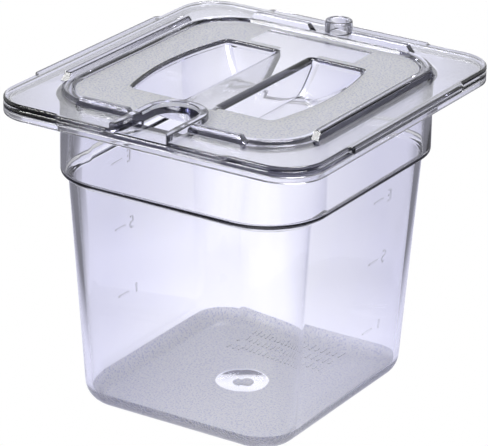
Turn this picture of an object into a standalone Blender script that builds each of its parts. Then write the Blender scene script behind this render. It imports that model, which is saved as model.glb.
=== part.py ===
"""A clear one-sixth size food pan with its lift-off lid: a notch for a spoon at the front, a
handle bar between two finger pockets in the middle, stacking ribs, and a peg at the back.

Metres, +Z up, origin under the middle of the pan on the surface it stands on. The notch faces
-Y. The pan and the lid are one moulding each. The lid lifts straight up off the rim.
"""

import math

import bmesh
import bpy
from mathutils import Vector

MM = 0.001

# The pan: outer size of the rim, and heights above the surface it stands on.
RIM_X = 163.4 * MM
RIM_Y = 176.2 * MM
RIM_TOP = 150.0 * MM
RIM_RADIUS = 19.2 * MM
RIM_THICK = 3.0 * MM
RIM_CROWN = 1.6 * MM
MOUTH_ROUND = 2.0 * MM
LIP_THICK = 2.8 * MM
LIP_LOW = 144.2 * MM
WALL = 3.0 * MM
FLOOR = 2.8 * MM

# The pan's walls, as insets from the rim's outer edge.
UPPER_INSET = 14.3 * MM
SHOULDER_INSET = 19.6 * MM
BOTTOM_INSET = 25.8 * MM
SHOULDER_TOP = 115.0 * MM
SHOULDER_LOW = 110.7 * MM
SHOULDER_INSIDE = 0.8 * MM
UPPER_RADIUS = 32.0 * MM
SHOULDER_RADIUS = 22.7 * MM
BOTTOM_RADIUS = 19.3 * MM
RIM_FILLET = 1.5 * MM
BOTTOM_FILLET = 11.0 * MM
FLOOR_FILLET = 8.0 * MM
GATE_RADIUS = 12.2 * MM
GATE_SLOPE = 1.5 * MM
GATE_DEPTH = 0.9 * MM

# The lid: a flange that lies on the rim, a raised band, and a plateau inside the band.
GAP = 0.3 * MM
FLANGE_LOW = RIM_TOP + GAP
FLANGE_TOP = 152.1 * MM
FLANGE_EDGE = 1.2 * MM
FLANGE_CROWN = 0.5 * MM
BAND_TOP = 153.5 * MM
PLATEAU_TOP = 152.0 * MM
PLATEAU_LOW = 149.8 * MM
BAND_INSET = 17.5 * MM
BAND_WIDTH = 3.0 * MM
BAND_SLOPE = 0.5 * MM
BAND_RADIUS = 23.5 * MM
LOCATOR_LOW = 147.0 * MM
LOCATOR_THICK = 1.8 * MM
LOCATOR_PLAY = 0.8 * MM
LOCATOR_DRAFT = 0.2 * MM
SKIRT_OUT = 2.1 * MM
SKIRT_DROP = 1.7 * MM
SKIRT_END_X = 44.5 * MM
SKIRT_END_Y = 50.5 * MM
SKIRT_RAMP = 3.0 * MM

# The stacking ribs on the band.
RIB_TOP = 155.9 * MM
RIB_FOOT = 151.0 * MM
RIB_WIDTH = 4.4 * MM
RIB_CREST = 2.2 * MM
RIB_SLOPE = 4.0 * MM
RIB_INSET = 16.4 * MM
RIB_END_Y = 52.0 * MM
RIB_END_X = 45.0 * MM

# The spoon notch and the raised wall around it.
NOTCH_RADIUS = 11.2 * MM
NOTCH_CENTRE = -61.4 * MM
NOTCH_WALL = 4.0 * MM
NOTCH_TOP = 154.9 * MM
NOTCH_FLARE = 8.0 * MM
FLARE_STEPS = 6

# The finger pockets on each side of the handle bar. TAPER and DRAFT are what they narrow by.
POCKET_STEP = 149.3 * MM
POCKET_LOW = 138.0 * MM
POCKET_WALL = 2.2 * MM
POCKET_END = 40.2 * MM
POCKET_SIDE = 36.8 * MM
POCKET_BULGE = 6.0 * MM
POCKET_TAPER = 17.0 * MM
POCKET_BAR_RADIUS = 3.0 * MM
POCKET_SIDE_RADIUS = 4.0 * MM
BAR_HALF = 10.3 * MM
BAR_DRAFT = 1.0 * MM

# The hollow peg that stands on the flange at the back.
PEG_Y = 78.9 * MM
PEG_RADIUS = 6.5 * MM
PEG_BORE = 4.3 * MM
PEG_TOP = 157.9 * MM
PEG_GAP = 8.2 * MM

# How far a cutter stands clear of what it cuts, and the numbers of straight steps in curves.
OVER = 10.0 * MM
CORNER_STEPS = 7
ROUND_STEPS = 28
FLOOR_STEPS = 5
POCKET_STEPS = 8
POCKET_CORNER_STEPS = 4

# (share of the step inwards, share of the rise) up the shoulder's outside and down its inside.
SHOULDER_OUTSIDE_CURVE = ((0.85, 0.35), (0.3, 0.62), (0.08, 0.78), (0, 1))
SHOULDER_INSIDE_CURVE = ((0.08, 0.22), (0.35, 0.42), (0.9, 0.75), (1, 1))
# Shares of the way down a pocket's scoop.
SCOOP_SHARES = (0.35, 0.7, 1)


def clear_scene():
    """Remove every object, so that the model starts empty."""
    for old in list(bpy.data.objects):
        bpy.data.objects.remove(old, do_unlink=True)


def rounded(corners, steps=CORNER_STEPS):
    """Points along a closed outline. Each corner is (x, y, z, radius), and radius 0 is a plain point."""
    points = []
    for i, (x, y, z, radius) in enumerate(corners):
        here = Vector((x, y, z))
        if radius == 0:
            points.append(here)
            continue
        back = (Vector(corners[i - 1][:3]) - here).normalized()
        ahead = (Vector(corners[(i + 1) % len(corners)][:3]) - here).normalized()
        half = back.angle(ahead) / 2
        centre = here + (back + ahead).normalized() * radius / math.sin(half)
        start = here + back * radius / math.tan(half) - centre
        end = here + ahead * radius / math.tan(half) - centre
        turn = math.pi - 2 * half
        for k in range(steps + 1):
            early = math.sin(turn * (1 - k / steps))
            late = math.sin(turn * k / steps)
            points.append(centre + (start * early + end * late) / math.sin(turn))
    return points


def rectangle(half_x, half_y, radius, z):
    """A rounded rectangle about the Z axis."""
    signs = ((1, -1), (1, 1), (-1, 1), (-1, -1))
    return rounded([(sx * half_x, sy * half_y, z, radius) for sx, sy in signs])


def circle(radius, z):
    """A circle with as many points as a rounded rectangle has."""
    return rectangle(radius, radius, 0.97 * radius, z)


def ring(inset, z, radius):
    """A rounded rectangle at an inset from the rim's outer edge."""
    return rectangle(RIM_X / 2 - inset, RIM_Y / 2 - inset, radius, z)


def quarter(start, end, steps=4):
    """(inset, z) pairs on a quarter turn that leaves start along z and reaches end along the inset."""
    pairs = []
    for k in range(1, steps):
        turn = math.pi / 2 * k / steps
        inset = start[0] + (end[0] - start[0]) * (1 - math.cos(turn))
        z = start[1] + (end[1] - start[1]) * math.sin(turn)
        pairs.append((inset, z))
    return pairs


def loft(name, rings):
    """One closed body through rings of equal length, with a face over the first and the last."""
    mesh = bpy.data.meshes.new(name)
    work = bmesh.new()
    loops = [[work.verts.new(point) for point in points] for points in rings]
    for low, high in zip(loops, loops[1:]):
        for i in range(len(low)):
            j = (i + 1) % len(low)
            work.faces.new((low[i], low[j], high[j], high[i]))
    work.faces.new(loops[0][::-1])
    work.faces.new(loops[-1])
    bmesh.ops.triangulate(work, faces=[face for face in work.faces if len(face.verts) == 4])
    bmesh.ops.recalc_face_normals(work, faces=work.faces)
    work.to_mesh(mesh)
    work.free()
    piece = bpy.data.objects.new(name, mesh)
    bpy.context.scene.collection.objects.link(piece)
    return piece


def helper(piece):
    """Mark a piece that only shapes another one."""
    piece.hide_render = True
    piece.display_type = "WIRE"
    return piece


def combine(target, tool, operation):
    """Add a tool's shape to a piece, or cut it away."""
    step = target.modifiers.new(f"{operation.lower()}_{tool.name}", "BOOLEAN")
    step.operation = operation
    step.solver = "EXACT"
    step.object = helper(tool)


def finish(piece, material, angle=40):
    """Give a piece its material and smooth shading with crisp edges."""
    piece.data.materials.append(material)
    piece.data.shade_smooth()
    piece.data.set_sharp_from_angle(angle=math.radians(angle))


def clear_plastic(name, colour, roughness):
    """Clear polycarbonate."""
    material = bpy.data.materials.new(name)
    material.use_nodes = True
    shader = material.node_tree.nodes["Principled BSDF"]
    shader.inputs["Base Color"].default_value = (*colour, 1)
    shader.inputs["Roughness"].default_value = roughness
    shader.inputs["Metallic"].default_value = 0
    shader.inputs["Transmission Weight"].default_value = 1
    shader.inputs["IOR"].default_value = 1.585
    return material


def pan_outside():
    """Rings up the outside of the pan, from under its floor to the rim's top."""
    rings = [ring(BOTTOM_INSET + BOTTOM_FILLET, 0, BOTTOM_RADIUS - BOTTOM_FILLET)]
    foot = quarter((BOTTOM_INSET, BOTTOM_FILLET), (BOTTOM_INSET + BOTTOM_FILLET, 0))
    for inset, z in reversed(foot):
        rings.append(ring(inset, z, BOTTOM_RADIUS - (inset - BOTTOM_INSET)))
    rings.append(ring(BOTTOM_INSET, BOTTOM_FILLET, BOTTOM_RADIUS))
    rings.append(ring(SHOULDER_INSET, SHOULDER_LOW, SHOULDER_RADIUS))
    step = SHOULDER_INSET - UPPER_INSET
    for share, rise in SHOULDER_OUTSIDE_CURVE:
        inset = UPPER_INSET + step * share
        z = SHOULDER_LOW + (SHOULDER_TOP - SHOULDER_LOW) * rise
        rings.append(ring(inset, z, UPPER_RADIUS - (UPPER_RADIUS - SHOULDER_RADIUS) * share))
    under = RIM_TOP - RIM_THICK
    fillet_start = (UPPER_INSET, under - RIM_FILLET)
    fillet_end = (UPPER_INSET - RIM_FILLET, under)
    for inset, z in (fillet_start, *quarter(fillet_start, fillet_end, 2), fillet_end):
        rings.append(ring(inset, z, UPPER_RADIUS))
    rings.append(ring(LIP_THICK, under, RIM_RADIUS - LIP_THICK))
    rings.append(ring(LIP_THICK, LIP_LOW, RIM_RADIUS - LIP_THICK))
    rings.append(ring(0, LIP_LOW, RIM_RADIUS))
    crown_start = (0, RIM_TOP - RIM_CROWN)
    crown_end = (RIM_CROWN, RIM_TOP)
    for inset, z in (crown_start, *quarter(crown_start, crown_end, 2), crown_end):
        rings.append(ring(inset, z, RIM_RADIUS - inset))
    return rings


def pan_inside():
    """Rings down the inside of the pan, from the rim's inner edge to the middle of the floor."""
    wall = UPPER_INSET + WALL
    inner_radius = UPPER_RADIUS - WALL
    mouth_start = (wall, RIM_TOP - MOUTH_ROUND)
    mouth_end = (wall - MOUTH_ROUND, RIM_TOP)
    rings = []
    for inset, z in (mouth_end, *quarter(mouth_start, mouth_end, 2), mouth_start):
        rings.append(ring(inset, z, inner_radius + wall - inset))
    high = SHOULDER_TOP + SHOULDER_INSIDE
    rings.append(ring(wall, high, inner_radius))
    step = SHOULDER_INSET - UPPER_INSET
    for share, drop in SHOULDER_INSIDE_CURVE:
        z = high - (SHOULDER_TOP - SHOULDER_LOW) * drop
        radius = inner_radius - (UPPER_RADIUS - SHOULDER_RADIUS) * share
        rings.append(ring(wall + step * share, z, radius))
    low_wall = BOTTOM_INSET + WALL
    radius = BOTTOM_RADIUS - WALL
    turn_start = (low_wall, FLOOR + FLOOR_FILLET)
    turn_end = (low_wall + FLOOR_FILLET, FLOOR)
    rings.append(ring(*turn_start, radius))
    for inset, z in quarter(turn_start, turn_end, FLOOR_STEPS):
        rings.append(ring(inset, z, radius - (inset - low_wall)))
    rings.append(ring(*turn_end, radius - FLOOR_FILLET))
    rings.append(circle(GATE_RADIUS, FLOOR))
    rings.append(circle(GATE_RADIUS - GATE_SLOPE, FLOOR - GATE_DEPTH))
    return rings


def build_pan():
    """The pan: one moulding with a tapered body, a shoulder for stacking, and a lipped rim."""
    pan = loft("pan", pan_outside() + pan_inside())
    finish(pan, clear_plastic("pan_plastic", (0.93, 0.94, 0.985), 0.06))
    return pan


def lid_ring(inset, z, radius, out=0.0, drop=0.0):
    """A ring of the lid. Along the middle of each side it stands out and hangs down as a skirt."""
    half_x = RIM_X / 2 - inset
    half_y = RIM_Y / 2 - inset
    corners = []
    for sx, sy, along_x in ((1, -1, False), (1, 1, True), (-1, 1, False), (-1, -1, True)):
        corners.append((sx * half_x, sy * half_y, z, radius))
        straight = (half_x if along_x else half_y) - radius
        end = min(SKIRT_END_X if along_x else SKIRT_END_Y, straight - SKIRT_RAMP / 3)
        for place in (-end, -end + SKIRT_RAMP, end - SKIRT_RAMP, end):
            shown = abs(place) < end
            away = out if shown else 0
            height = z - drop if shown else z
            if along_x:
                corners.append((-sy * place, sy * (half_y + away), height, 0))
            else:
                corners.append((sx * (half_x + away), sx * place, height, 0))
    return rounded(corners)


def lid_plate():
    """The lid's plate: its underside with the locating ridge, the flange, the band and the plateau."""
    ridge = UPPER_INSET + WALL + LOCATOR_PLAY
    inner = UPPER_RADIUS - WALL - LOCATOR_PLAY
    thick = LOCATOR_THICK
    rings = [lid_ring(ridge + thick + LOCATOR_DRAFT, PLATEAU_LOW, inner - thick - LOCATOR_DRAFT)]
    rings.append(lid_ring(ridge + thick, LOCATOR_LOW, inner - thick))
    rings.append(lid_ring(ridge + LOCATOR_DRAFT, LOCATOR_LOW, inner - LOCATOR_DRAFT))
    rings.append(lid_ring(ridge, FLANGE_LOW, inner))
    edge = FLANGE_EDGE
    rings.append(lid_ring(edge, FLANGE_LOW, RIM_RADIUS - edge, edge + GAP))
    rings.append(lid_ring(edge / 2, FLANGE_LOW, RIM_RADIUS - edge / 2, edge / 2 + GAP, SKIRT_DROP))
    rings.append(lid_ring(0, FLANGE_LOW, RIM_RADIUS, SKIRT_OUT, SKIRT_DROP))
    rings.append(lid_ring(0, FLANGE_TOP - FLANGE_CROWN, RIM_RADIUS, SKIRT_OUT))
    rings.append(lid_ring(FLANGE_CROWN, FLANGE_TOP, RIM_RADIUS - FLANGE_CROWN, SKIRT_OUT))
    rings.append(lid_ring(BAND_INSET, FLANGE_TOP, BAND_RADIUS))
    rings.append(lid_ring(BAND_INSET + BAND_SLOPE, BAND_TOP, BAND_RADIUS))
    rings.append(lid_ring(BAND_INSET + BAND_WIDTH, BAND_TOP, BAND_RADIUS))
    rings.append(lid_ring(BAND_INSET + BAND_WIDTH + BAND_SLOPE * 2, PLATEAU_TOP, BAND_RADIUS))
    return loft("lid", rings)


def rib(name, x, y, length_x, length_y):
    """A straight stacking rib with sloping ends, centred at x, y."""
    def layer(width, slope, z):
        half_x = (length_x / 2 - slope) if length_x > length_y else width / 2
        half_y = (length_y / 2 - slope) if length_y > length_x else width / 2
        signs = ((1, -1), (1, 1), (-1, 1), (-1, -1))
        return [Vector((x + sx * half_x, y + sy * half_y, z)) for sx, sy in signs]

    return loft(name, [layer(RIB_WIDTH, 0, RIB_FOOT), layer(RIB_CREST, RIB_SLOPE, RIB_TOP)])


def lid_ribs():
    """The ribs: a long one on each side, and two short ones at the front and at the back."""
    ribs = []
    for side in (-1, 1):
        x = side * (RIM_X / 2 - RIB_INSET)
        ribs.append(rib(f"rib_side_{side}", x, 0, RIB_WIDTH, 2 * RIB_END_Y))
        for end, gap in ((-1, NOTCH_RADIUS + NOTCH_WALL / 2), (1, PEG_GAP)):
            middle = side * (RIB_END_X + gap) / 2
            length = RIB_END_X - gap
            y = end * (RIM_Y / 2 - RIB_INSET)
            ribs.append(rib(f"rib_end_{side}_{end}", middle, y, length, RIB_WIDTH))
    return ribs


def notch_prism(name, radius, front, low, high, flare=0.0):
    """A slot with a half-round inner end, as a solid from low to high.

    With a flare, it widens in a quarter circle on each side where it leaves the lid's front edge.
    """
    side = [(radius + flare, front)]
    if flare:
        edge = -RIM_Y / 2 - SKIRT_OUT
        for k in range(FLARE_STEPS + 1):
            turn = math.pi / 2 * (1 - k / FLARE_STEPS)
            side.append((radius + flare - flare * math.cos(turn), edge + flare - flare * math.sin(turn)))
    end = []
    for k in range(ROUND_STEPS + 1):
        turn = math.pi * k / ROUND_STEPS
        end.append((radius * math.cos(turn), NOTCH_CENTRE + radius * math.sin(turn)))
    outline = side + end + [(-x, y) for x, y in reversed(side)]
    return loft(name, [[Vector((x, y, z)) for x, y in outline] for z in (low, high)])


def pocket_ring(side, grow, share, z):
    """A D-shaped outline of a finger pocket, with its straight edge along the handle bar.

    share goes from 0 at the mouth to 1 at the bottom, and grow moves the outline outwards.
    """
    bar = BAR_HALF + BAR_DRAFT * share - grow
    end = POCKET_END - POCKET_TAPER * share + grow
    corner = POCKET_SIDE - POCKET_TAPER * share + grow
    bulge = POCKET_BULGE * (1 - share / 2)
    near = (side * bar, POCKET_BAR_RADIUS)
    far = (side * corner, POCKET_SIDE_RADIUS)
    points = [(x, -end, z, radius) for x, radius in (near, far)]
    for k in range(1, POCKET_STEPS):
        along = 2 * k / POCKET_STEPS - 1
        points.append((side * (corner + bulge * (1 - along * along)), along * end, z, 0))
    points += [(x, end, z, radius) for x, radius in (far, near)]
    return rounded(points, POCKET_CORNER_STEPS)


def pocket(name, side, grow, top):
    """A finger pocket as a solid: a short upright step at its mouth, then a scoop."""
    rings = [pocket_ring(side, grow, 0, top)]
    rings.append(pocket_ring(side, grow, 0, POCKET_STEP - grow))
    for share in SCOOP_SHARES:
        depth = (POCKET_STEP - POCKET_LOW) * math.sin(math.pi / 2 * share)
        rings.append(pocket_ring(side, grow, share, POCKET_STEP - grow - depth))
    return loft(name, rings)


def peg_solid(name, radius, low, high):
    """An upright round solid where the peg stands."""
    layers = []
    for z in (low, high):
        turns = [2 * math.pi * k / ROUND_STEPS for k in range(ROUND_STEPS)]
        layers.append([Vector((radius * math.cos(a), PEG_Y + radius * math.sin(a), z)) for a in turns])
    return loft(name, layers)


def build_lid():
    """The lid: one moulding, the plate with its ribs, pockets, notch and peg."""
    lid = lid_plate()
    middle = (FLANGE_LOW + FLANGE_TOP) / 2
    front = -RIM_Y / 2 - SKIRT_OUT / 2
    for piece in lid_ribs():
        combine(lid, piece, "UNION")
    combine(lid, notch_prism("notch_wall", NOTCH_RADIUS + NOTCH_WALL, front, middle, NOTCH_TOP), "UNION")
    combine(lid, peg_solid("peg_wall", PEG_RADIUS, middle, PEG_TOP), "UNION")
    for side in (-1, 1):
        combine(lid, pocket(f"well_{side}", side, POCKET_WALL, middle), "UNION")
    for side in (-1, 1):
        combine(lid, pocket(f"hollow_{side}", side, 0, PLATEAU_TOP + OVER), "DIFFERENCE")
    slot = notch_prism(
        "notch_slot", NOTCH_RADIUS, -RIM_Y / 2 - OVER, LOCATOR_LOW - OVER, NOTCH_TOP + OVER, NOTCH_FLARE
    )
    combine(lid, slot, "DIFFERENCE")
    combine(lid, peg_solid("peg_bore", PEG_BORE, FLANGE_TOP, PEG_TOP + OVER), "DIFFERENCE")
    finish(lid, clear_plastic("lid_plastic", (0.93, 0.94, 0.985), 0.1))
    return lid


clear_scene()
build_pan()
build_lid()
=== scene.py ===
"""The looks of the clear food pan and its lid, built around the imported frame. Metres, +Z up."""

import math

import bmesh
import bpy
from mathutils import Matrix, Vector


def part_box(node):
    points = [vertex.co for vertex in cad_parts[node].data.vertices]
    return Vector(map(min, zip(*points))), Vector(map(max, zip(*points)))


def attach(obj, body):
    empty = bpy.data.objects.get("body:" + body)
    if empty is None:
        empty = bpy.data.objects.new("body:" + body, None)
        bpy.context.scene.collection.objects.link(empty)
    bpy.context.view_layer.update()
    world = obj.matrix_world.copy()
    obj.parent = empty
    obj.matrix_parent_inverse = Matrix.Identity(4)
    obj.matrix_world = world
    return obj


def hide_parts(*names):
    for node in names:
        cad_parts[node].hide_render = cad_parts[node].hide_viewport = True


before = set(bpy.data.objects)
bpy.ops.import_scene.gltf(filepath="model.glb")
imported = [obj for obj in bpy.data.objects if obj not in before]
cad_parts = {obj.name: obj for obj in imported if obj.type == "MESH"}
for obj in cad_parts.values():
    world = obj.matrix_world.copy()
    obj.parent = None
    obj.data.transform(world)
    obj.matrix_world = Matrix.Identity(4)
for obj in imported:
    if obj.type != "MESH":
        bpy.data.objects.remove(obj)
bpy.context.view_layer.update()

MM = 0.001

# The frame's own sizes: the pan's rim, and the lid's height.
PAN_LOW, PAN_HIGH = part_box("pan")
LID_LOW, LID_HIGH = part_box("lid")
RIM_HALF_X = PAN_HIGH.x
RIM_HALF_Y = PAN_HIGH.y
RIM_TOP = PAN_HIGH.z
SKIRT_OUT = LID_HIGH.x - PAN_HIGH.x

# The pan: insets from the rim's outer edge, and heights.
RIM_RADIUS = 19.2 * MM
RIM_THICK = 3.0 * MM
RIM_CROWN = 1.6 * MM
MOUTH_ROUND = 2.0 * MM
LIP_THICK = 2.8 * MM
LIP_LOW = RIM_TOP - 5.8 * MM
WALL = 3.0 * MM
FLOOR = 2.8 * MM
UPPER_INSET = 14.3 * MM
SHOULDER_INSET = 19.6 * MM
BOTTOM_INSET = 25.8 * MM
SHOULDER_TOP = 115.0 * MM
SHOULDER_LOW = 110.7 * MM
UPPER_RADIUS = 32.0 * MM
SHOULDER_RADIUS = 22.7 * MM
BOTTOM_RADIUS = 19.3 * MM
# The shoulder's curve, as (share of its width, share of its height), going up outside and down inside.
SHOULDER_OUTSIDE = ((0.94, 0.16), (0.8, 0.36), (0.5, 0.5), (0.22, 0.62), (0.06, 0.8), (0, 1))
SHOULDER_INSIDE = ((0, 0), (0.06, 0.2), (0.22, 0.38), (0.5, 0.5), (0.8, 0.64), (0.94, 0.84), (1, 1))
SHOULDER_LIFT = 0.8 * MM
BOTTOM_FILLET = 11.0 * MM
FLOOR_FILLET = 8.0 * MM
GATE_RADIUS = 12.2 * MM
GATE_DEPTH = 0.9 * MM
GATE_SHARES = (1.0, 0.94, 0.86, 0.75, 0.6, 0.45, 0.36)
ROUND_CORNER = 0.97
NUB_RADIUS = 4.1 * MM
NUB_STEPS = ((0.0, 0.05), (0.9, 0.45), (1.6, 0.55))
FROST_HEIGHT = 6.5 * MM

# The marks on the inside: heights and middles of the scale's dashes, and the bars on the floor.
LEFT_MARKS = (39.5 * MM, 72.5 * MM, 105.0 * MM)
RIGHT_MARKS = (35.5 * MM, 70.5 * MM, 101.0 * MM)
LEFT_MARK_Y = -14.0 * MM
RIGHT_MARK_Y = 20.0 * MM
DASH = 8.0 * MM
DIGIT = 2.6 * MM
STROKE = 0.7 * MM
STROKE_HEIGHT = 0.35 * MM
STROKE_CLEAR = 0.7
BLOCK_X = -26.0 * MM
BLOCK_Y = 28.0 * MM
BLOCK_STEP_X = 3.2 * MM
BLOCK_STEP_Y = 9.0 * MM
BLOCK_COLUMNS = 16
BLOCK_ROWS = 3
BLOCK_SHORTEST = 0.35
BLOCK_SPREAD = 0.35

# The lid: heights above the rim, and insets from the rim's outer edge.
GAP = 0.3 * MM
FLANGE_LOW = RIM_TOP + GAP
FLANGE_TOP = RIM_TOP + 2.1 * MM
BAND_TOP = RIM_TOP + 3.5 * MM
PLATEAU_TOP = RIM_TOP + 2.0 * MM
PLATEAU_LOW = RIM_TOP - 0.2 * MM
BAND_INSET = 17.5 * MM
BAND_WIDTH = 3.0 * MM
BAND_SLOPE = 0.5 * MM
BAND_RADIUS = 23.5 * MM
LOCATOR_LOW = RIM_TOP - 3.0 * MM
LOCATOR_THICK = 1.8 * MM
LOCATOR_PLAY = 0.8 * MM
SKIRT_DROP = 1.7 * MM
SKIRT_END_X = 44.5 * MM
SKIRT_END_Y = 50.5 * MM
SKIRT_RAMP = 3.0 * MM

RIB_TOP = RIM_TOP + 5.9 * MM
RIB_FOOT = RIM_TOP + 1.0 * MM
RIB_WIDTH = 4.4 * MM
RIB_CREST = 2.2 * MM
RIB_SLOPE = 4.0 * MM
RIB_X = RIM_HALF_X - 16.4 * MM
RIB_Y = RIM_HALF_Y - 16.4 * MM
RIB_END_Y = 52.0 * MM
RIB_END_X = 45.0 * MM

NOTCH_RADIUS = 11.2 * MM
NOTCH_CENTRE = -61.4 * MM
NOTCH_WALL = 4.0 * MM
NOTCH_TOP = RIM_TOP + 4.9 * MM
NOTCH_FLARE = 8.0 * MM

POCKET_STEP = RIM_TOP - 0.7 * MM
POCKET_LOW = RIM_TOP - 12.0 * MM
POCKET_WALL = 2.2 * MM
POCKET_END = 40.2 * MM
POCKET_SIDE = 36.8 * MM
POCKET_BULGE = 6.0 * MM
POCKET_TAPER = 17.0 * MM
POCKET_BAR_RADIUS = 3.0 * MM
POCKET_SIDE_RADIUS = 4.0 * MM
POCKET_STEPS = 24
SCOOP_STEPS = 10
BAR_HALF = 10.3 * MM
BAR_DRAFT = 1.0 * MM
MOUTH_FLARE = 1.0 * MM
BAR_FLARE = 3.6 * MM
BAR_FLARE_HEIGHT = 2.6 * MM
FLARE_STEPS = 10

PEG_Y = 78.9 * MM
PEG_RADIUS = 6.5 * MM
PEG_BORE = 4.3 * MM
PEG_TOP = LID_HIGH.z
PEG_GAP = 8.2 * MM

LABEL_HALF = 28.0 * MM
LABEL_NEAR = 44.5 * MM
LABEL_FAR = 63.1 * MM
BAR_END = 44.0 * MM

CORNER_STEPS = 18
ROUND_STEPS = 72

scene = bpy.context.scene


# ---------------------------------------------------------------- materials

TINT = (0.68, 0.68, 0.8)
SPECKLE_RANGE = (0.38, 0.5)
REFRACTION = 1.585


def plastic(name, roughness, density, grain, body, clarity):
    """Clear polycarbonate, with roughness as a range and clarity as the share of light it lets through.

    grain is the (size, height, strength) of its bump, and body its two base colours.
    """
    material = bpy.data.materials.new(name)
    material.use_nodes = True
    tree = material.node_tree
    shader = tree.nodes["Principled BSDF"]
    output = tree.nodes["Material Output"]
    shader.inputs["Metallic"].default_value = 0
    shader.inputs["IOR"].default_value = REFRACTION
    shader.inputs["Transmission Weight"].default_value = clarity

    place = tree.nodes.new("ShaderNodeTexCoord")
    size, height, strength = grain
    noise = tree.nodes.new("ShaderNodeTexNoise")
    noise.inputs["Scale"].default_value = 1 / size
    noise.inputs["Detail"].default_value = 3
    tree.links.new(place.outputs["Object"], noise.inputs["Vector"])
    bump = tree.nodes.new("ShaderNodeBump")
    bump.inputs["Strength"].default_value = strength
    bump.inputs["Distance"].default_value = height
    tree.links.new(noise.outputs["Fac"], bump.inputs["Height"])
    tree.links.new(bump.outputs["Normal"], shader.inputs["Normal"])

    wear = tree.nodes.new("ShaderNodeMapRange")
    wear.inputs["To Min"].default_value = roughness[0]
    wear.inputs["To Max"].default_value = roughness[1]
    tree.links.new(noise.outputs["Fac"], wear.inputs["Value"])
    tree.links.new(wear.outputs["Result"], shader.inputs["Roughness"])

    shade = tree.nodes.new("ShaderNodeValToRGB")
    for stop, position, colour in zip(shade.color_ramp.elements, SPECKLE_RANGE, body):
        stop.position = position
        stop.color = (*colour, 1)
    tree.links.new(noise.outputs["Fac"], shade.inputs["Fac"])
    tree.links.new(shade.outputs["Color"], shader.inputs["Base Color"])

    volume = tree.nodes.new("ShaderNodeVolumeAbsorption")
    volume.inputs["Color"].default_value = (*TINT, 1)
    volume.inputs["Density"].default_value = density
    tree.links.new(volume.outputs["Volume"], output.inputs["Volume"])
    return material


CLEAR = plastic(
    "clear_polycarbonate",
    roughness=(0.0, 0.02),
    density=55,
    grain=(30 * MM, 0.02 * MM, 0.3),
    body=((0.99, 0.99, 1.0), (1.0, 1.0, 1.0)),
    clarity=1.0,
)
FROSTED = plastic(
    "frosted_polycarbonate",
    roughness=(0.35, 0.5),
    density=20,
    grain=(0.9 * MM, 0.3 * MM, 0.8),
    body=((0.6, 0.62, 0.78), (1.0, 1.0, 1.0)),
    clarity=0.6,
)


# ---------------------------------------------------------------- shapes

def rounded(corners, steps):
    """Points along a closed outline. Each corner is (x, y, z, radius), and radius 0 is a plain point."""
    points = []
    for i, (x, y, z, radius) in enumerate(corners):
        here = Vector((x, y, z))
        if radius == 0:
            points.append(here)
            continue
        back = (Vector(corners[i - 1][:3]) - here).normalized()
        ahead = (Vector(corners[(i + 1) % len(corners)][:3]) - here).normalized()
        half = back.angle(ahead) / 2
        centre = here + (back + ahead).normalized() * radius / math.sin(half)
        start = here + back * radius / math.tan(half) - centre
        end = here + ahead * radius / math.tan(half) - centre
        turn = math.pi - 2 * half
        for k in range(steps + 1):
            early = math.sin(turn * (1 - k / steps))
            late = math.sin(turn * k / steps)
            points.append(centre + (start * early + end * late) / math.sin(turn))
    return points


def rectangle(half_x, half_y, radius, z):
    """A rounded rectangle about the Z axis."""
    signs = ((1, -1), (1, 1), (-1, 1), (-1, -1))
    return rounded([(sx * half_x, sy * half_y, z, radius) for sx, sy in signs], CORNER_STEPS)


def ring(inset, z, radius):
    """A rounded rectangle at an inset from the rim's outer edge."""
    return rectangle(RIM_HALF_X - inset, RIM_HALF_Y - inset, radius, z)


def loft(name, rings, material=None):
    """One closed body through rings of equal length, with a face over the first and the last."""
    mesh = bpy.data.meshes.new(name)
    work = bmesh.new()
    loops = [[work.verts.new(point) for point in points] for points in rings]
    for low, high in zip(loops, loops[1:]):
        for i in range(len(low)):
            j = (i + 1) % len(low)
            work.faces.new((low[i], low[j], high[j], high[i]))
    work.faces.new(loops[0][::-1])
    work.faces.new(loops[-1])
    bmesh.ops.recalc_face_normals(work, faces=work.faces)
    work.to_mesh(mesh)
    work.free()
    piece = bpy.data.objects.new(name, mesh)
    scene.collection.objects.link(piece)
    mesh.materials.append(material or CLEAR)
    return piece


def triangulate_bent(piece):
    """Split the faces that aren't flat, so that a Boolean reads them as they are."""
    work = bmesh.new()
    work.from_mesh(piece.data)
    bmesh.ops.triangulate(work, faces=[face for face in work.faces if len(face.verts) == 4])
    work.to_mesh(piece.data)
    work.free()


def arc(centre, radius, start, end, steps):
    """(inset, z) pairs on an arc, with angles in degrees from the +inset direction towards +z."""
    pairs = []
    for k in range(steps + 1):
        turn = math.radians(start + (end - start) * k / steps)
        pairs.append((centre[0] + radius * math.cos(turn), centre[1] + radius * math.sin(turn)))
    return pairs


def smooth(piece, angle=30):
    """Smooth shading with crisp edges, and normals weighted by face area."""
    piece.data.shade_smooth()
    piece.data.set_sharp_from_angle(angle=math.radians(angle))
    weight = piece.modifiers.new("weighted", "WEIGHTED_NORMAL")
    weight.keep_sharp = True


# ---------------------------------------------------------------- the pan

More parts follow.
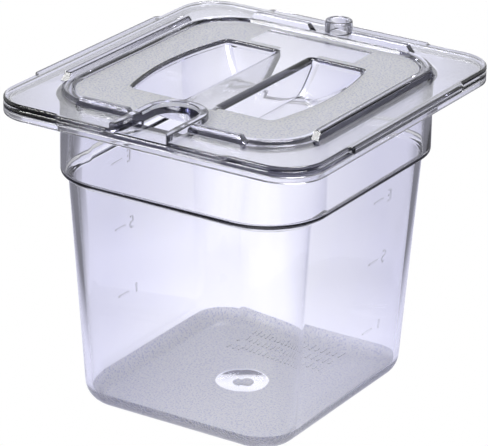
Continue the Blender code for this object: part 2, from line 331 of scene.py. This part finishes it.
def pan_profile():
    """(inset, z, corner radius) from under the floor, up the outside, over the rim and down inside."""
    rows = []
    for inset, z in arc((BOTTOM_INSET + BOTTOM_FILLET, BOTTOM_FILLET), BOTTOM_FILLET, 270, 180, 8):
        rows.append((inset, z, BOTTOM_RADIUS - (inset - BOTTOM_INSET)))
    rows.append((SHOULDER_INSET, SHOULDER_LOW, SHOULDER_RADIUS))
    step = SHOULDER_INSET - UPPER_INSET
    for share, rise in SHOULDER_OUTSIDE:
        z = SHOULDER_LOW + (SHOULDER_TOP - SHOULDER_LOW) * rise
        radius = UPPER_RADIUS - (UPPER_RADIUS - SHOULDER_RADIUS) * share
        rows.append((UPPER_INSET + step * share, z, radius))
    under = RIM_TOP - RIM_THICK
    blend = 1.5 * MM
    for inset, z in arc((UPPER_INSET - blend, under - blend), blend, 0, 90, 5):
        rows.append((inset, z, UPPER_RADIUS))
    lip = 1.0 * MM
    for inset, z in arc((LIP_THICK + lip, under - lip), lip, 90, 180, 4):
        rows.append((inset, z, RIM_RADIUS - inset))
    soft = 0.7 * MM
    for inset, z in arc((LIP_THICK - soft, LIP_LOW + soft), soft, 0, -90, 4):
        rows.append((inset, z, RIM_RADIUS - inset))
    for inset, z in arc((soft, LIP_LOW + soft), soft, 270, 180, 4):
        rows.append((inset, z, RIM_RADIUS - inset))
    for inset, z in arc((RIM_CROWN, RIM_TOP - RIM_CROWN), RIM_CROWN, 180, 90, 6):
        rows.append((inset, z, RIM_RADIUS - inset))
    wall = UPPER_INSET + WALL
    inner = UPPER_RADIUS - WALL
    for inset, z in arc((wall - MOUTH_ROUND, RIM_TOP - MOUTH_ROUND), MOUTH_ROUND, 90, 0, 6):
        rows.append((inset, z, inner + wall - inset))
    high = SHOULDER_TOP + SHOULDER_LIFT
    for share, drop in SHOULDER_INSIDE:
        z = high - (SHOULDER_TOP - SHOULDER_LOW) * drop
        radius = inner - (UPPER_RADIUS - SHOULDER_RADIUS) * share
        rows.append((wall + step * share, z, radius))
    low_wall = BOTTOM_INSET + WALL
    radius = BOTTOM_RADIUS - WALL
    for inset, z in arc((low_wall + FLOOR_FILLET, FLOOR + FLOOR_FILLET), FLOOR_FILLET, 180, 270, 12):
        rows.append((inset, z, radius - (inset - low_wall)))
    return rows


def gate_rings():
    """The smooth round dimple in the middle of the floor, with a low nub at its centre."""
    rings = []
    deepest = GATE_SHARES[-1]
    for share in GATE_SHARES:
        radius = GATE_RADIUS * share
        sink = GATE_DEPTH * math.sin(math.pi / 2 * (1 - share) / (1 - deepest))
        rings.append(rectangle(radius, radius, ROUND_CORNER * radius, FLOOR - sink))
    for inset, rise in NUB_STEPS:
        radius = NUB_RADIUS - inset * MM
        rings.append(rectangle(radius, radius, ROUND_CORNER * radius, FLOOR - GATE_DEPTH + rise * MM))
    return rings


def bar(name, start, end, width, height, lift, up):
    """A low raised stroke between two points of a surface, with up as the surface's normal."""
    along = (end - start).normalized()
    across = along.cross(up).normalized() * width / 2
    rings = []
    for z in (-lift, height):
        shift = up * z
        corners = (start - across, end - across, end + across, start + across)
        rings.append([corner + shift for corner in corners])
    return loft(name, rings)


def merge(pieces):
    """One body from pieces that don't touch."""
    work = bmesh.new()
    for piece in pieces:
        work.from_mesh(piece.data)
    work.to_mesh(pieces[0].data)
    work.free()
    for piece in pieces[1:]:
        bpy.data.objects.remove(piece)
    return pieces[0]


def digit_strokes(digit):
    """The strokes of a plain digit, as pairs of (across, up) points on a grid of 1 by 2."""
    points = {"a": (0, 2), "b": (1, 2), "c": (0, 1), "d": (1, 1), "e": (0, 0), "f": (1, 0)}
    strokes = {"1": ("bf",), "2": ("ab", "bd", "cd", "ce", "ef"), "3": ("ab", "bf", "cd", "ef")}[digit]
    return [(points[start], points[end]) for start, end in strokes]


def inner_half_x(z):
    """Half the width between the inner faces of the side walls, at a height below the shoulder."""
    share = (z - BOTTOM_FILLET) / (SHOULDER_LOW - BOTTOM_FILLET)
    return RIM_HALF_X - WALL - BOTTOM_INSET + (BOTTOM_INSET - SHOULDER_INSET) * share


def on_side_wall(side, y, z):
    """A point on the inner face of a side wall."""
    return Vector((side * inner_half_x(z), y, z))


def scale_marks():
    """The scale on the inside of both side walls: a dash and a digit at three heights."""
    strokes = []
    lean = (BOTTOM_INSET - SHOULDER_INSET) / (SHOULDER_LOW - BOTTOM_FILLET)
    for side, heights, middle in ((-1, LEFT_MARKS, LEFT_MARK_Y), (1, RIGHT_MARKS, RIGHT_MARK_Y)):
        normal = Vector((-side, 0, lean)).normalized()
        for digit, height in zip("123", heights):
            lines = [((middle - DASH, height), (middle, height))]
            for start, end in digit_strokes(digit):
                corner = (middle + DASH / 2, height - DIGIT)
                ends = [Vector((corner[0] + u * DIGIT, corner[1] + v * DIGIT)) for u, v in (start, end)]
                clear = (ends[1] - ends[0]).normalized() * STROKE * STROKE_CLEAR
                lines.append((ends[0] + clear, ends[1] - clear))
            for k, (start, end) in enumerate(lines):
                name = f"mark_{side}_{digit}_{k}"
                low, high = on_side_wall(side, *start), on_side_wall(side, *end)
                strokes.append(bar(name, low, high, STROKE, STROKE_HEIGHT, WALL / 4, normal))
    return strokes


def floor_marks():
    """The raised block on the floor, reduced to plain bars of different lengths."""
    strokes = []
    for row in range(BLOCK_ROWS):
        for column in range(BLOCK_COLUMNS):
            x = BLOCK_X + column * BLOCK_STEP_X
            y = BLOCK_Y + row * BLOCK_STEP_Y
            length = BLOCK_STEP_Y * (BLOCK_SHORTEST + BLOCK_SPREAD * ((row * 5 + column * 3) % 7) / 6)
            start = Vector((x, y, FLOOR))
            end = Vector((x, y + length, FLOOR))
            name = f"bar_{row}_{column}"
            strokes.append(bar(name, start, end, STROKE, STROKE_HEIGHT, FLOOR / 4, Vector((0, 0, 1))))
    return strokes


def build_pan():
    """The pan: a clear moulding with a frosted floor and a smooth dimple in its middle."""
    rings = [ring(inset, z, radius) for inset, z, radius in pan_profile()]
    pan = loft("pan_shell", rings + gate_rings())
    triangulate_bent(pan)
    combine(pan, merge(scale_marks() + floor_marks()), "UNION")
    pan.data.materials.append(FROSTED)
    for face in pan.data.polygons:
        middle = face.center
        over_floor = middle.z < FLOOR + FROST_HEIGHT and face.normal.z > 0.2
        if over_floor and not NUB_RADIUS < middle.xy.length < GATE_RADIUS:
            face.material_index = 1
    smooth(pan)
    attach(pan, "pan")
    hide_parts("pan")
    return pan


# ---------------------------------------------------------------- the lid

def lid_ring(inset, z, radius, out=0.0, drop=0.0):
    """A ring of the lid. Along the middle of each side it stands out and hangs down as a skirt."""
    half_x = RIM_HALF_X - inset
    half_y = RIM_HALF_Y - inset
    corners = []
    for sx, sy, along_x in ((1, -1, False), (1, 1, True), (-1, 1, False), (-1, -1, True)):
        corners.append((sx * half_x, sy * half_y, z, radius))
        straight = (half_x if along_x else half_y) - radius
        end = min(SKIRT_END_X if along_x else SKIRT_END_Y, straight - 1.0 * MM)
        ramp = 6
        places = [(-end + SKIRT_RAMP * k / ramp, k / ramp) for k in range(ramp + 1)]
        places += [(-place, share) for place, share in reversed(places)]
        for place, share in places:
            ease = share * share * (3 - 2 * share)
            away = out * ease
            height = z - drop * ease
            if along_x:
                corners.append((-sy * place, sy * (half_y + away), height, 0))
            else:
                corners.append((sx * (half_x + away), sx * place, height, 0))
    return rounded(corners, CORNER_STEPS)


def lid_plate():
    """The lid's plate: its underside with the locating ridge, the flange, the band and the plateau."""
    ridge = UPPER_INSET + WALL + LOCATOR_PLAY
    inner = UPPER_RADIUS - WALL - LOCATOR_PLAY
    rings = [lid_ring(ridge + LOCATOR_THICK + 0.3 * MM, PLATEAU_LOW, inner - 2.0 * MM)]
    rings.append(lid_ring(ridge + LOCATOR_THICK, LOCATOR_LOW + 0.3 * MM, inner - 1.8 * MM))
    rings.append(lid_ring(ridge + LOCATOR_THICK - 0.3 * MM, LOCATOR_LOW, inner - 1.5 * MM))
    rings.append(lid_ring(ridge + 0.4 * MM, LOCATOR_LOW, inner - 0.4 * MM))
    rings.append(lid_ring(ridge + 0.1 * MM, LOCATOR_LOW + 0.3 * MM, inner - 0.1 * MM))
    rings.append(lid_ring(ridge, FLANGE_LOW, inner))
    edge = 1.2 * MM
    rings.append(lid_ring(edge, FLANGE_LOW, RIM_RADIUS - edge, edge + GAP))
    rings.append(lid_ring(edge / 2, FLANGE_LOW, RIM_RADIUS - edge / 2, edge / 2 + GAP, SKIRT_DROP))
    rings.append(lid_ring(0, FLANGE_LOW, RIM_RADIUS, SKIRT_OUT - 0.2 * MM, SKIRT_DROP))
    rings.append(lid_ring(0, FLANGE_LOW + 0.3 * MM, RIM_RADIUS, SKIRT_OUT, SKIRT_DROP))
    crown = 1.0 * MM
    for inset, z in arc((crown, FLANGE_TOP - crown), crown, 180, 90, 5):
        rings.append(lid_ring(inset, z, RIM_RADIUS - inset, SKIRT_OUT))
    rings.append(lid_ring(BAND_INSET - 0.5 * MM, FLANGE_TOP, BAND_RADIUS))
    rings.append(lid_ring(BAND_INSET, FLANGE_TOP + 0.2 * MM, BAND_RADIUS))
    rings.append(lid_ring(BAND_INSET + BAND_SLOPE * 0.8, BAND_TOP - 0.3 * MM, BAND_RADIUS))
    rings.append(lid_ring(BAND_INSET + BAND_SLOPE + 0.3 * MM, BAND_TOP, BAND_RADIUS))
    rings.append(lid_ring(BAND_INSET + BAND_WIDTH, BAND_TOP, BAND_RADIUS))
    rings.append(lid_ring(BAND_INSET + BAND_WIDTH + BAND_SLOPE * 0.6, BAND_TOP - 0.3 * MM, BAND_RADIUS))
    rings.append(lid_ring(BAND_INSET + BAND_WIDTH + BAND_SLOPE * 1.6, PLATEAU_TOP + 0.2 * MM, BAND_RADIUS))
    rings.append(lid_ring(BAND_INSET + BAND_WIDTH + BAND_SLOPE * 2.2, PLATEAU_TOP, BAND_RADIUS))
    plate = loft("lid_shell", rings)
    triangulate_bent(plate)
    return plate


def rib(name, x, y, length_x, length_y):
    """A straight stacking rib with sloping ends and a rounded crest, centred at x, y."""
    def layer(width, slope, z):
        half_x = (length_x / 2 - slope) if length_x > length_y else width / 2
        half_y = (length_y / 2 - slope) if length_y > length_x else width / 2
        signs = ((1, -1), (1, 1), (-1, 1), (-1, -1))
        return [Vector((x + sx * half_x, y + sy * half_y, z)) for sx, sy in signs]

    layers = [layer(RIB_WIDTH, 0, RIB_FOOT)]
    soft = 0.5 * MM
    for inset, z in arc((soft, RIB_TOP - soft), soft, 180, 90, 4):
        layers.append(layer(RIB_CREST - 2 * (inset - soft), RIB_SLOPE + inset - soft, z))
    return loft(name, layers)


def lid_ribs():
    """The ribs: a long one on each side, and two short ones at the front and at the back."""
    ribs = []
    for side in (-1, 1):
        ribs.append(rib(f"rib_side_{side}", side * RIB_X, 0, RIB_WIDTH, 2 * RIB_END_Y))
        for end, gap in ((-1, NOTCH_RADIUS + NOTCH_WALL / 2), (1, PEG_GAP)):
            middle = side * (RIB_END_X + gap) / 2
            length = RIB_END_X - gap
            ribs.append(rib(f"rib_end_{side}_{end}", middle, end * RIB_Y, length, RIB_WIDTH))
    return ribs


def notch_prism(name, layers, flare=0.0):
    """A slot with a half-round inner end, as a solid through (radius, front, z) layers.

    With a flare, it widens in a quarter circle on each side where it leaves the lid's front edge.
    """
    edge = -RIM_HALF_Y - SKIRT_OUT
    rings = []
    for radius, front, z in layers:
        side = [(radius + flare, front)]
        if flare:
            for k in range(FLARE_STEPS + 1):
                turn = math.pi / 2 * (1 - k / FLARE_STEPS)
                side.append((radius + flare - flare * math.cos(turn), edge + flare - flare * math.sin(turn)))
        end = []
        for k in range(ROUND_STEPS // 2 + 1):
            turn = 2 * math.pi * k / ROUND_STEPS
            end.append((radius * math.cos(turn), NOTCH_CENTRE + radius * math.sin(turn)))
        outline = side + end + [(-x, y) for x, y in reversed(side)]
        rings.append([Vector((x, y, z)) for x, y in outline])
    return loft(name, rings)


def pocket_ring(side, grow, share, z, bar_grow=None):
    """A D-shaped outline of a finger pocket, with its straight edge along the handle bar.

    share goes from 0 at the mouth to 1 at the bottom. grow moves the outline outwards, and
    bar_grow does the same for the edge along the bar.
    """
    bar = BAR_HALF + BAR_DRAFT * share - (grow if bar_grow is None else bar_grow)
    end = POCKET_END - POCKET_TAPER * share + grow
    corner = POCKET_SIDE - POCKET_TAPER * share + grow
    bulge = POCKET_BULGE * (1 - share / 2)
    near = (side * bar, POCKET_BAR_RADIUS)
    far = (side * corner, POCKET_SIDE_RADIUS)
    points = [(x, -end, z, radius) for x, radius in (near, far)]
    for k in range(2, POCKET_STEPS - 1):
        along = 2 * k / POCKET_STEPS - 1
        points.append((side * (corner + bulge * (1 - along * along)), along * end, z, 0))
    points += [(x, end, z, radius) for x, radius in (far, near)]
    return rounded(points, 8)


def flare(depth, width, height):
    """How far an elliptical edge rounding still stands out, at a depth below its start."""
    if depth >= height:
        return 0.0
    return width * (1 - math.sqrt(1 - (1 - depth / height) ** 2))


def pocket(name, side, grow, top, rounded_mouth):
    """A finger pocket as a solid: a short upright step at its mouth, then a scoop."""
    rings = [pocket_ring(side, grow, 0, top)]
    if rounded_mouth:
        rings = [pocket_ring(side, MOUTH_FLARE, 0, top, BAR_FLARE)]
        for k in range(FLARE_STEPS + 1):
            depth = BAR_FLARE_HEIGHT * (1 - math.cos(math.pi / 2 * k / FLARE_STEPS))
            out = flare(depth, MOUTH_FLARE, MOUTH_FLARE)
            bar_out = flare(depth, BAR_FLARE, BAR_FLARE_HEIGHT)
            rings.append(pocket_ring(side, out, 0, PLATEAU_TOP - depth, bar_out))
    rings.append(pocket_ring(side, grow, 0, POCKET_STEP - grow))
    for k in range(1, SCOOP_STEPS + 1):
        share = k / SCOOP_STEPS
        depth = (POCKET_STEP - POCKET_LOW) * math.sin(math.pi / 2 * share)
        rings.append(pocket_ring(side, grow, share, POCKET_STEP - grow - depth))
    return loft(name, rings)


def peg_solid(name, layers):
    """An upright round solid where the peg stands, through (radius, z) layers."""
    rings = []
    for radius, z in layers:
        turns = [2 * math.pi * k / ROUND_STEPS for k in range(ROUND_STEPS)]
        rings.append([Vector((radius * math.cos(a), PEG_Y + radius * math.sin(a), z)) for a in turns])
    return loft(name, rings)


def combine(target, tool, operation):
    """Add a tool's shape to a piece, or cut it away, and remove the tool."""
    step = target.modifiers.new(operation.lower(), "BOOLEAN")
    step.operation = operation
    step.solver = "EXACT"
    step.object = tool
    graph = bpy.context.evaluated_depsgraph_get()
    mesh = bpy.data.meshes.new_from_object(target.evaluated_get(graph))
    target.modifiers.remove(step)
    target.data = mesh
    bpy.data.objects.remove(tool)


def build_lid():
    """The lid: one clear moulding, the plate with its ribs, pockets, notch and peg."""
    lid = lid_plate()
    middle = (FLANGE_LOW + FLANGE_TOP) / 2
    front = -RIM_HALF_Y - SKIRT_OUT / 2
    over = 10 * MM
    soft = 0.7 * MM
    for piece in lid_ribs():
        combine(lid, piece, "UNION")
    outer = NOTCH_RADIUS + NOTCH_WALL
    layers = [(outer, front, middle)]
    for inset, z in arc((soft * 2, NOTCH_TOP - soft), soft, 180, 90, 5):
        layers.append((outer + soft - inset, front, z))
    combine(lid, notch_prism("notch_wall", layers), "UNION")
    layers = [(PEG_RADIUS, middle)]
    for inset, z in arc((soft * 2, PEG_TOP - soft), soft, 180, 90, 5):
        layers.append((PEG_RADIUS + soft - inset, z))
    combine(lid, peg_solid("peg_wall", layers), "UNION")
    for side in (-1, 1):
        combine(lid, pocket(f"well_{side}", side, POCKET_WALL, middle, False), "UNION")
    for side in (-1, 1):
        combine(lid, pocket(f"hollow_{side}", side, 0, PLATEAU_TOP + over, True), "DIFFERENCE")
    outside = -RIM_HALF_Y - over
    layers = [(NOTCH_RADIUS, outside, LOCATOR_LOW - over)]
    for inset, z in arc((soft, NOTCH_TOP - soft), soft, 180, 90, 5):
        layers.append((NOTCH_RADIUS + inset, outside, z))
    layers.append((NOTCH_RADIUS + soft, outside, NOTCH_TOP + over))
    combine(lid, notch_prism("notch_slot", layers, NOTCH_FLARE), "DIFFERENCE")
    layers = [(PEG_BORE, FLANGE_TOP)]
    layers += [(PEG_BORE + inset, z) for inset, z in arc((soft, PEG_TOP - soft), soft, 180, 90, 5)]
    layers.append((PEG_BORE + soft, PEG_TOP + over))
    combine(lid, peg_solid("peg_bore", layers), "DIFFERENCE")
    frost(lid)
    smooth(lid)
    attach(lid, "lid")
    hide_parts("lid")
    return lid


def frost(lid):
    """Frost the plateau's top, apart from the handle bar and the smooth label field."""
    lid.data.materials.append(FROSTED)
    work = bmesh.new()
    work.from_mesh(lid.data)

    def on_top(face):
        return face.normal.z > 0.999 and abs(face.calc_center_median().z - PLATEAU_TOP) < 0.02 * MM

    cuts = [((sign * LABEL_HALF, 0, 0), (1, 0, 0)) for sign in (-1, 1)]
    cuts += [((0, y, 0), (0, 1, 0)) for y in (LABEL_NEAR, LABEL_FAR, -BAR_END, BAR_END)]
    cuts += [((sign * BAR_HALF, 0, 0), (1, 0, 0)) for sign in (-1, 1)]
    for point, normal in cuts:
        faces = [face for face in work.faces if on_top(face)]
        edges = {edge for face in faces for edge in face.edges}
        verts = {vert for face in faces for vert in face.verts}
        bmesh.ops.bisect_plane(
            work, geom=[*faces, *edges, *verts], plane_co=point, plane_no=normal, dist=1e-7
        )
    for face in work.faces:
        if not on_top(face):
            continue
        spot = face.calc_center_median()
        in_label = abs(spot.x) < LABEL_HALF and LABEL_NEAR < spot.y < LABEL_FAR
        on_bar = abs(spot.x) < BAR_HALF and abs(spot.y) < LABEL_NEAR
        if not in_label and not on_bar:
            face.material_index = 1
    work.to_mesh(lid.data)
    work.free()


# ---------------------------------------------------------------- stage, light and camera

SHEET_FULL = 0.42
SHEET_END = 0.8
SHEET_LEVEL = 1.3
SHEET_COLOUR = (0.97, 0.97, 1.0)
SURROUND_COLOUR = (0.05, 0.05, 0.06)
# Far away the sheet is bright again, which is what a low viewpoint sees through the plastic.
FAR_START = 0.65
FAR_FULL = 0.95
FAR_LEVEL = 0.7
# The sheet is brightest along a strip that points away from the camera, at this azimuth.
STRIP_AZIMUTH = 31.9
STRIP_CENTRE = 0.0
STRIP_FULL = 0.025
STRIP_END = 0.07
STRIP_EDGE = 0.11
STRIP_OUTSIDE = 0.17
STRIP_MIDDLE_COLOUR = (0.94, 0.94, 1.0)
STRIP_SIDE_COLOUR = (0.72, 0.72, 0.84)
STRIP_OUTSIDE_COLOUR = (0.2, 0.2, 0.22)
# The shade where the pan stands: half sizes of its flat underside, and (distance from it, brightness).
FOOT = (0.045, 0.051, 0.0)
FOOT_SHADE = ((0.0, 1.0), (0.004, 0.6), (0.012, 0.6), (0.028, 1.0))
# Light that has been reflected inside the plastic at least this often comes back dimmer.
DIM_AFTER = 1.5
DIM_LEVEL = 0.3
# (sine of the elevation, brightness) up the dome
BACKDROP_COLOUR = (0.9, 0.9, 0.93)
DOME = ((0.0, 0.6), (0.2, 0.8), (0.5, 0.9), (0.72, 0.12), (1.0, 0.1))


def value_node(tree, operation, source, number):
    """A math node that works on a socket and a number."""
    node = tree.nodes.new("ShaderNodeMath")
    node.operation = operation
    tree.links.new(source, node.inputs[0])
    node.inputs[1].default_value = number
    return node.outputs[0]


def ramp_node(tree, source, stops):
    """A colour ramp through (position, colour) stops."""
    ramp = tree.nodes.new("ShaderNodeValToRGB")
    tree.links.new(source, ramp.inputs["Fac"])
    elements = ramp.color_ramp.elements
    while len(elements) < len(stops):
        elements.new(0.5)
    for element, (position, colour) in zip(elements, stops):
        element.position = position
        element.color = (*colour, 1)
    return ramp.outputs["Color"]


def product_node(tree, first, second):
    """The product of two colours."""
    node = tree.nodes.new("ShaderNodeVectorMath")
    node.operation = "MULTIPLY"
    tree.links.new(first, node.inputs[0])
    tree.links.new(second, node.inputs[1])
    return node.outputs["Vector"]


def dimmed(tree, colour):
    """The colour, dimmed for light that has been reflected inside the plastic several times."""
    path = tree.nodes.new("ShaderNodeLightPath")
    late = value_node(tree, "GREATER_THAN", path.outputs["Glossy Depth"], DIM_AFTER)
    level = value_node(tree, "MULTIPLY", late, DIM_LEVEL - 1)
    return product_node(tree, colour, value_node(tree, "ADD", level, 1))


def build_stage():
    """The floor. Straight from the camera it is plain white.

    To every other ray it is a glowing sheet: a bright strip, dark beside it, with a shade under the
    pan and a dark surround, and bright again far away.
    """
    bpy.ops.mesh.primitive_plane_add(size=12, location=(0, 0, PAN_LOW.z - 0.2 * MM))
    floor = bpy.context.object
    floor.name = "floor"
    material = bpy.data.materials.new("floor_white")
    material.use_nodes = True
    tree = material.node_tree
    tree.nodes.remove(tree.nodes["Principled BSDF"])
    place = tree.nodes.new("ShaderNodeTexCoord")
    length = tree.nodes.new("ShaderNodeVectorMath")
    length.operation = "LENGTH"
    tree.links.new(place.outputs["Object"], length.inputs[0])
    sheet_colour = ramp_node(
        tree, length.outputs["Value"], ((SHEET_FULL, SHEET_COLOUR), (SHEET_END, SURROUND_COLOUR))
    )
    across = tree.nodes.new("ShaderNodeVectorMath")
    across.operation = "DOT_PRODUCT"
    azimuth = math.radians(STRIP_AZIMUTH)
    across.inputs[1].default_value = (math.cos(azimuth), math.sin(azimuth), 0)
    tree.links.new(place.outputs["Object"], across.inputs[0])
    offset = value_node(tree, "SUBTRACT", across.outputs["Value"], STRIP_CENTRE)
    away = value_node(tree, "ABSOLUTE", offset, 0)
    strip_stops = (
        (STRIP_FULL, STRIP_MIDDLE_COLOUR),
        (STRIP_END, STRIP_SIDE_COLOUR),
        (STRIP_EDGE, STRIP_SIDE_COLOUR),
        (STRIP_OUTSIDE, STRIP_OUTSIDE_COLOUR),
    )
    strip_colour = ramp_node(tree, away, strip_stops)
    outside = place.outputs["Object"]
    steps = (("ABSOLUTE", None), ("SUBTRACT", FOOT), ("MAXIMUM", (0, 0, 0)), ("LENGTH", None))
    for operation, other in steps:
        node = tree.nodes.new("ShaderNodeVectorMath")
        node.operation = operation
        tree.links.new(outside, node.inputs[0])
        if other:
            node.inputs[1].default_value = other
        outside = node.outputs["Value" if operation == "LENGTH" else "Vector"]
    foot_colour = ramp_node(tree, outside, [(reach, (level, level, level)) for reach, level in FOOT_SHADE])
    sheet = tree.nodes.new("ShaderNodeEmission")
    sheet.inputs["Strength"].default_value = SHEET_LEVEL
    shaded = product_node(tree, product_node(tree, sheet_colour, strip_colour), foot_colour)
    far = tree.nodes.new("ShaderNodeMapRange")
    far.inputs["From Min"].default_value = FAR_START
    far.inputs["From Max"].default_value = FAR_FULL
    far.inputs["To Max"].default_value = FAR_LEVEL
    tree.links.new(length.outputs["Value"], far.inputs["Value"])
    total = tree.nodes.new("ShaderNodeVectorMath")
    total.operation = "ADD"
    tree.links.new(shaded, total.inputs[0])
    tree.links.new(far.outputs["Result"], total.inputs[1])
    tree.links.new(dimmed(tree, total.outputs["Vector"]), sheet.inputs["Color"])
    glow = tree.nodes.new("ShaderNodeEmission")
    path = tree.nodes.new("ShaderNodeLightPath")
    mix = tree.nodes.new("ShaderNodeMixShader")
    tree.links.new(path.outputs["Is Camera Ray"], mix.inputs[0])
    tree.links.new(sheet.outputs[0], mix.inputs[1])
    tree.links.new(glow.outputs[0], mix.inputs[2])
    tree.links.new(mix.outputs[0], tree.nodes["Material Output"].inputs["Surface"])
    floor.data.materials.append(material)


def build_world():
    """A soft dome with a pale band above the horizon and a dark ceiling. The camera sees it pale."""
    world = bpy.data.worlds.new("studio")
    scene.world = world
    world.use_nodes = True
    tree = world.node_tree
    place = tree.nodes.new("ShaderNodeTexCoord")
    split = tree.nodes.new("ShaderNodeSeparateXYZ")
    tree.links.new(place.outputs["Generated"], split.inputs[0])
    stops = [(height, (level * 0.96, level * 0.97, level)) for height, level in DOME]
    colour = ramp_node(tree, split.outputs["Z"], stops)
    tree.links.new(dimmed(tree, colour), tree.nodes["Background"].inputs["Color"])
    backdrop = tree.nodes.new("ShaderNodeBackground")
    backdrop.inputs["Color"].default_value = (*BACKDROP_COLOUR, 1)
    path = tree.nodes.new("ShaderNodeLightPath")
    mix = tree.nodes.new("ShaderNodeMixShader")
    tree.links.new(path.outputs["Is Camera Ray"], mix.inputs[0])
    tree.links.new(tree.nodes["Background"].outputs[0], mix.inputs[1])
    tree.links.new(backdrop.outputs[0], mix.inputs[2])
    tree.links.new(mix.outputs[0], tree.nodes["World Output"].inputs["Surface"])


def soft_box(name, place, size, power, target=(0, 0, 0.08)):
    """A large soft area light that faces the object."""
    data = bpy.data.lights.new(name, "AREA")
    data.shape = "RECTANGLE"
    data.size, data.size_y = size
    data.energy = power
    light = bpy.data.objects.new(name, data)
    scene.collection.objects.link(light)
    light.location = place
    light.rotation_euler = (Vector(target) - Vector(place)).to_track_quat("-Z", "Y").to_euler()


def build_camera():
    """The camera: from the front right and above, with a slight roll."""
    data = bpy.data.cameras.new("camera")
    camera = bpy.data.objects.new("camera", data)
    scene.collection.objects.link(camera)
    place = Vector((0.71623, -1.15181, 0.63647))
    target = Vector((0.19882, -0.32119, 0.23608))
    roll = 0.018
    forward = (target - place).normalized()
    right = forward.cross(Vector((0, 0, 1))).normalized()
    up = right.cross(forward)
    turned_right = right * math.cos(roll) + up * math.sin(roll)
    turned_up = up * math.cos(roll) - right * math.sin(roll)
    axes = Matrix((turned_right, turned_up, -forward)).transposed()
    camera.matrix_world = Matrix.Translation(place) @ axes.to_4x4()
    data.sensor_width = 36
    data.lens = 235.78
    data.clip_start = 0.05
    data.clip_end = 30
    scene.camera = camera


build_pan()
build_lid()
build_stage()
build_world()
soft_box("key", (-1.2, -1.6, 1.8), (1.0, 1.0), 40)
soft_box("top", (0.2, 0.5, 2.2), (1.2, 0.8), 30)
build_camera()

scene.view_settings.view_transform = "Standard"
scene.cycles.max_bounces = 24
scene.cycles.transmission_bounces = 24
scene.cycles.glossy_bounces = 12
scene.cycles.transparent_max_bounces = 24
